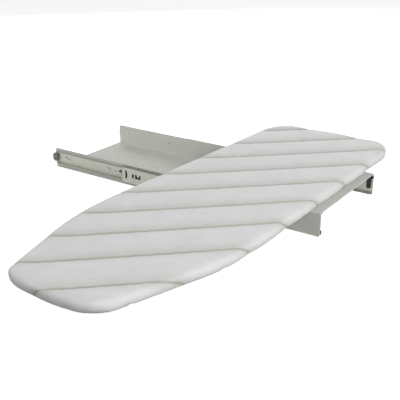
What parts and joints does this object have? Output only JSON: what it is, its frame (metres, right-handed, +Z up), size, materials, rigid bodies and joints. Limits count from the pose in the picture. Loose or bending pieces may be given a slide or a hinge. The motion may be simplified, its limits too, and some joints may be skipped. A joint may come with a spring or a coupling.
{
  "type": "pull-out ironing board",
  "caption": "Padded tapered ironing board on a swivel, carried by a sheet-steel carriage that pulls out of a closet-shelf tray on ball-bearing slides.",
  "frame": {"origin": "centre of the base tray's underside, where the tray rests on its shelf", "axes": "+X the way the carriage pulls out, +Y towards the board's square heel (the nose points to -Y), +Z up"},
  "size_m": [0.7165, 0.9658, 0.08],
  "materials": {
    "painted_sheet": "semi-matt warm light grey powder coat",
    "zinc_rail": "zinc-plated cold-rolled steel, satin, slightly greenish",
    "bright_steel": "plated steel fasteners, balls and ball cages",
    "black_plastic": "moulded acetal, satin black",
    "grey_plastic": "moulded plastic, satin dark grey",
    "black_rubber": "moulded rubber, matt black",
    "nylon": "natural nylon, satin",
    "wood_panel": "bare wood panel, sanded",
    "foam": "open-cell foam",
    "cover_fabric": "channel-stitched pale silver-grey cotton cover, matt",
    "elastic": "woven elastic tape"
  },
  "bodies": {
    "base": {"base_tray": "painted_sheet", "inner_rail_near": "zinc_rail", "rail_end_cap_near": "grey_plastic", "lever_rivet_near": "bright_steel", "rail_screw_near_1": "bright_steel", "rail_screw_near_2": "bright_steel", "rail_screw_near_3": "bright_steel", "inner_rail_far": "zinc_rail", "rail_end_cap_far": "grey_plastic", "lever_rivet_far": "bright_steel", "rail_screw_far_1": "bright_steel", "rail_screw_far_2": "bright_steel", "rail_screw_far_3": "bright_steel"},
    "release_lever_near": {"release_lever_near": "black_plastic"},
    "middle_rail_near": {"middle_rail_near": "zinc_rail"},
    "inner_ball_cage_near": {"inner_ball_cage_near": "bright_steel"},
    "outer_ball_cage_near": {"outer_ball_cage_near": "bright_steel"},
    "release_lever_far": {"release_lever_far": "black_plastic"},
    "middle_rail_far": {"middle_rail_far": "zinc_rail"},
    "inner_ball_cage_far": {"inner_ball_cage_far": "bright_steel"},
    "outer_ball_cage_far": {"outer_ball_cage_far": "bright_steel"},
    "carriage": {"carriage": "painted_sheet", "outer_rail_near": "zinc_rail", "rail_bumper_near": "black_rubber", "carriage_rivet_near_1": "painted_sheet", "carriage_rivet_near_2": "painted_sheet", "carriage_rivet_near_3": "painted_sheet", "outer_rail_far": "zinc_rail", "rail_bumper_far": "black_rubber", "carriage_rivet_far_1": "painted_sheet", "carriage_rivet_far_2": "painted_sheet", "carriage_rivet_far_3": "painted_sheet", "swivel_plate": "zinc_rail", "glide_ring": "nylon", "pivot_bush": "nylon", "swivel_plate_rivet_1": "bright_steel", "swivel_plate_rivet_2": "bright_steel", "swivel_plate_rivet_3": "bright_steel", "swivel_plate_rivet_4": "bright_steel"},
    "board": {"board_plate": "zinc_rail", "pivot_bolt": "bright_steel", "pivot_washer": "bright_steel", "spring_washer": "bright_steel", "pivot_nut": "bright_steel", "stop_pin": "bright_steel", "board_screw_1": "bright_steel", "board_screw_2": "bright_steel", "board_screw_3": "bright_steel", "board_screw_4": "bright_steel", "board_panel": "wood_panel", "foam_pad": "foam", "quilted_cover": "cover_fabric", "cover_elastic": "elastic"}
  },
  "joints": [
    {"name": "carriage_slide", "type": "slide", "parent": "base", "child": "carriage", "axis": [1, 0, 0], "range_m": [-0.3556, 0]},
    {"name": "middle_rail_near_slide", "type": "slide", "parent": "base", "child": "middle_rail_near", "axis": [1, 0, 0], "range_m": [-0.2103, 0]},
    {"name": "inner_ball_cage_near_slide", "type": "slide", "parent": "base", "child": "inner_ball_cage_near", "axis": [1, 0, 0], "range_m": [-0.1054, 0]},
    {"name": "outer_ball_cage_near_slide", "type": "slide", "parent": "base", "child": "outer_ball_cage_near", "axis": [1, 0, 0], "range_m": [-0.2832, 0]},
    {"name": "middle_rail_far_slide", "type": "slide", "parent": "base", "child": "middle_rail_far", "axis": [1, 0, 0], "range_m": [-0.2103, 0]},
    {"name": "inner_ball_cage_far_slide", "type": "slide", "parent": "base", "child": "inner_ball_cage_far", "axis": [1, 0, 0], "range_m": [-0.1054, 0]},
    {"name": "outer_ball_cage_far_slide", "type": "slide", "parent": "base", "child": "outer_ball_cage_far", "axis": [1, 0, 0], "range_m": [-0.2832, 0]},
    {"name": "board_swivel", "type": "hinge", "parent": "carriage", "child": "board", "pos_m": [0.3603, 0, 0.0565], "axis": [0, 0, 1], "range_deg": [0, 182.2]},
    {"name": "release_lever_near_hinge", "type": "hinge", "parent": "base", "child": "release_lever_near", "pos_m": [0.0995, -0.1245, 0.0269], "axis": [0, -1, 0], "range_deg": [0, 4], "stiffness_Nm_per_rad": 0.05, "springref_deg": -5.73},
    {"name": "release_lever_far_hinge", "type": "hinge", "parent": "base", "child": "release_lever_far", "pos_m": [0.0995, 0.1245, 0.0289], "axis": [0, 1, 0], "range_deg": [0, 4], "stiffness_Nm_per_rad": 0.05, "springref_deg": -5.73}
  ],
  "couplings": [
    {"joint": "middle_rail_near_slide", "follows": "carriage_slide", "ratio": 0.59},
    {"joint": "inner_ball_cage_near_slide", "follows": "carriage_slide", "ratio": 0.295},
    {"joint": "outer_ball_cage_near_slide", "follows": "carriage_slide", "ratio": 0.795},
    {"joint": "middle_rail_far_slide", "follows": "carriage_slide", "ratio": 0.59},
    {"joint": "inner_ball_cage_far_slide", "follows": "carriage_slide", "ratio": 0.295},
    {"joint": "outer_ball_cage_far_slide", "follows": "carriage_slide", "ratio": 0.795}
  ]
}
